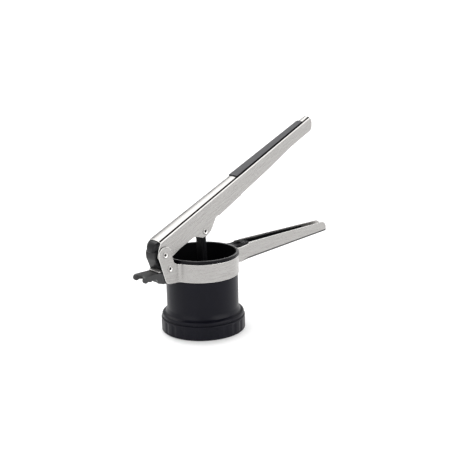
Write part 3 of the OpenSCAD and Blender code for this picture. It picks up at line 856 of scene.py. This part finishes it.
def build_cap():
    """Domed end of the upper handle: the channel's outline shrinking towards the back."""
    root, centre_z, deep, seat_z = 1.8, 4, 13.2, 8.95
    half, crown, turn_r = up_half(0) - 0.12, 17.3, 4.6
    bm = bmesh.new()
    corners = [(-half, centre_z, 0), (half, centre_z, 0), (half, crown - 0.5, turn_r)]
    corners += [(0, crown, 60), (-half, crown - 0.5, turn_r)]
    outline = spaced(rounded(corners, 12))
    count = 20
    turns = [math.radians(88) * k / count for k in range(count + 1)]
    stations = [(root + 10, 0.84), (root + 0.05, 0.86)]
    stations += [(root - deep * math.sin(t), math.cos(t)) for t in turns]
    rings = []
    for x, size in stations:
        rings.append([bm.verts.new((x, p.x * size, centre_z + (p.y - centre_z) * size)) for p in outline])
    for a, b in zip(rings, rings[1:]):
        for i in range(len(outline)):
            bm.faces.new((a[i - 1], a[i], b[i], b[i - 1]))
    bm.faces.new(rings[0])
    bm.faces.new(rings[-1])
    floor = bmesh.ops.bisect_plane(
        bm, geom=everything(bm), dist=1e-5, plane_co=(0, 0, seat_z), plane_no=(0, 0, 1), clear_inner=True
    )
    rim = [e for e in floor["geom_cut"] if isinstance(e, bmesh.types.BMEdge)]
    bmesh.ops.contextual_create(bm, geom=rim)
    piece("end_cap_dome", bm, about_hinge, [black_hinge], "handle", "black_plastic", "end_cap")


def build_rivet(name, node, body):
    """A turned pin along Y with a dished head and a pit at each end; the pit's walls carry painted shade
    and the dish a painted glint.
    """
    low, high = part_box(node)
    end = (high.y - low.y) / 2 / MM
    shaft, head, dish, pit_r = 2.98, 3.9, 2.5, 1.35
    side = rounded([
        (0, end - 2.6, 0), (pit_r, end - 2.6, 0.2), (pit_r, end - 0.7, 0.3), (dish, end - 0.05, 0.8),
        (head - 0.5, end - 0.2, 1.2), (head, end - 0.85, 0.2), (shaft, end - 0.9, 0), (shaft, 0, 0),
    ], 4)
    other = [Vector((p.x, -p.y)) for p in reversed(side)]
    bm = lathe(side + other, 48)
    for face in bm.faces:
        mid = face.calc_center_median()
        # the pit's walls get painted shade, the dish a painted glint
        in_pit = 1 < abs(mid.z) < end - 0.75 and mid.xy.length < pit_r + 0.1
        face.material_index = 1 if in_pit else 2 if mid.xy.length < dish else 0
    place = Matrix.Translation(middle(node)) @ Matrix.Rotation(math.pi / 2, 4, "X") @ Matrix.Scale(MM, 4)
    piece(name, bm, place, [steel_pin, pit, steel_dish_glint], body, "satin_steel", node)


def finish_node(node, material, soften=0.0):
    """A CAD node that stays: its facets are smoothed and its edges broken."""
    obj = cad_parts[node]
    obj.data.materials.clear()
    obj.data.materials.append(material)
    obj.modifiers.new("weld", "WELD").merge_threshold = 1e-6
    if soften:
        edge = obj.modifiers.new("edge", "BEVEL")
        edge.width = soften * MM
        edge.segments = 2
        edge.limit_method = "ANGLE"
        edge.angle_limit = math.radians(40)
        edge.harden_normals = True


build_hopper()
build_base_ring()
build_band()
build_liner()
build_upper_handle()
build_grip()
build_barrel()
build_cap()
build_rivet("pivot_rivet_turned", "pivot_rivet", "frame")
build_rivet("block_rivet_turned", "block_rivet", "frame")
build_rivet("plunger_rivet_turned", "plunger_rivet", "handle")
moulded("pot_rest_moulding", "pot_rest", black_rest, "frame", "black_plastic")
moulded("plunger_rod_moulding", "plunger_rod", black_liner, "plunger", "black_plastic")

for kept in ("sieve_disc", "selector_disc", "centre_bolt", "centre_nut", "spring_washer", "disc_screw"):
    finish_node(kept, steel_sieve)
finish_node("stop_plate", steel_stop_glint, 0.2)
finish_node("channel_filler", black_hinge, 0.35)
for kept in ("press_disc", "pivot_washers", "rod_spacers", "grip_clip"):
    finish_node(kept, black_liner)

# ------------------------------------------------------------------ stage, light and camera


def build_floor():
    """A wide pale floor that sweeps up far away, with a painted soft shadow in front of the object's
    foot, where its emission dims.
    """
    reach, sweep, thick = 14, 1.5, 0.02
    bm = lathe(rounded([
        (0, 0, 0), (reach, 0, sweep), (reach + 1, 2.2, 0), (reach + 1.1, 2.2, 0),
        (reach + 0.1, -thick, 0), (0, -thick, 0),
    ], 12), 96)
    bmesh.ops.recalc_face_normals(bm, faces=bm.faces[:])
    mesh = bpy.data.meshes.new("floor")
    bm.to_mesh(mesh)
    bm.free()
    floor = bpy.data.objects.new("floor", mesh)
    m, tree, shader = base_material(
        "pale_floor", 0.0, 0.0, Base_Color=(0.7, 0.7, 0.7, 1), Roughness=0.9,
        Emission_Color=(1, 1, 1, 1),
    )
    shade_way, shade_shift, shade_in, shade_out = Vector((-0.64, -0.77, 0)), 14, 12, 8
    where = tree.nodes.new("ShaderNodeTexCoord").outputs["Object"]
    away = linked(tree, "ShaderNodeVectorMath", Vector=where)
    away.operation = "DISTANCE"
    away.inputs[1].default_value = axis + shade_way * shade_shift * MM
    # painted shadow: the floor's emission dims near the foot, reaching furthest towards the front
    painted_shadow_glow = linked(tree, "ShaderNodeMapRange", Value=away.outputs["Value"])
    painted_shadow_glow.interpolation_type = "SMOOTHSTEP"
    painted_shadow_glow.inputs["From Min"].default_value = (BASE_R - shade_in) * MM
    painted_shadow_glow.inputs["From Max"].default_value = (BASE_R + shade_out) * MM
    painted_shadow_glow.inputs["To Min"].default_value = 0.2
    painted_shadow_glow.inputs["To Max"].default_value = 0.42
    tree.links.new(painted_shadow_glow.outputs["Result"], shader.inputs["Emission Strength"])
    mesh.materials.append(m)
    bpy.context.scene.collection.objects.link(floor)


def lobe(tree, facing, direction, inner, outer, strength):
    """A soft round light area of the studio, as seen in one direction."""
    dot = linked(tree, "ShaderNodeVectorMath", Vector=facing)
    dot.operation = "DOT_PRODUCT"
    dot.inputs[1].default_value = Vector(direction).normalized()
    near = linked(tree, "ShaderNodeMapRange", Value=dot.outputs["Value"])
    near.interpolation_type = "SMOOTHSTEP"
    near.inputs["From Min"].default_value = math.cos(math.radians(outer))
    near.inputs["From Max"].default_value = math.cos(math.radians(inner))
    near.inputs["To Max"].default_value = strength
    return near.outputs["Result"]


# direction of each panel, degrees within which it is full and beyond which it is gone, strength
PANELS = (
    ((0.08, 0.45, 0.89), 23, 35, 2.9),      # high behind the object, seen in the crown
    ((0.50, 0.80, 0.20), 18, 34, -0.62),    # dark gap low behind it
    ((0.33, -0.88, 0.33), 21, 34, 2.9),     # in front
    ((-0.95, -0.1, 0.3), 16, 34, 1.6),      # at the hinge end
    ((0.95, 0.1, 0.3), 12, 30, 0.8),        # at the tip end
)


def build_light():
    """A pale studio: bright panels behind and in front, with a dark gap straight overhead."""
    world = bpy.data.worlds.new("studio")
    bpy.context.scene.world = world
    world.use_nodes = True
    tree = world.node_tree
    facing = tree.nodes.new("ShaderNodeTexCoord").outputs["Generated"]
    total = lobe(tree, facing, *PANELS[0])
    for panel in PANELS[1:]:
        total = joined(tree, "ADD", total, lobe(tree, facing, *panel))
    height = linked(tree, "ShaderNodeSeparateXYZ", Vector=facing)
    walls = linked(tree, "ShaderNodeMapRange", Value=height.outputs["Z"])
    walls.interpolation_type = "SMOOTHSTEP"
    walls.inputs["From Min"].default_value = 0.92
    walls.inputs["From Max"].default_value = 0.55
    walls.inputs["To Min"].default_value = 0.03
    walls.inputs["To Max"].default_value = 0.8
    background = tree.nodes["Background"]
    lit = joined(tree, "ADD", total, walls.outputs["Result"])
    tree.links.new(lit, background.inputs["Strength"])
    background.inputs["Color"].default_value = (1, 1, 1, 1)


def build_camera():
    """Looks at the object from the front left, a little above it."""
    azimuth, elevation, roll = math.radians(-40), math.radians(14.61), math.radians(-1.44)
    distance, frame_px, focal_px, sensor = 1.2, 458, 1000, 36
    aim = Vector((-0.0143, -0.0023, 0.1142))
    back = Vector((
        math.sin(azimuth) * math.cos(elevation), -math.cos(azimuth) * math.cos(elevation),
        math.sin(elevation),
    ))
    camera = bpy.data.objects.new("camera", bpy.data.cameras.new("camera"))
    camera.data.sensor_width = sensor
    camera.data.lens = sensor * focal_px / frame_px
    camera.data.clip_end = 200
    camera.location = aim + back * distance
    camera.rotation_mode = "QUATERNION"
    camera.rotation_quaternion = (-back).to_track_quat("-Z", "Y") @ Quaternion((0, 0, 1), roll)
    bpy.context.scene.collection.objects.link(camera)
    bpy.context.scene.camera = camera


build_floor()
build_light()
build_camera()
bpy.context.scene.view_settings.view_transform = "Standard"
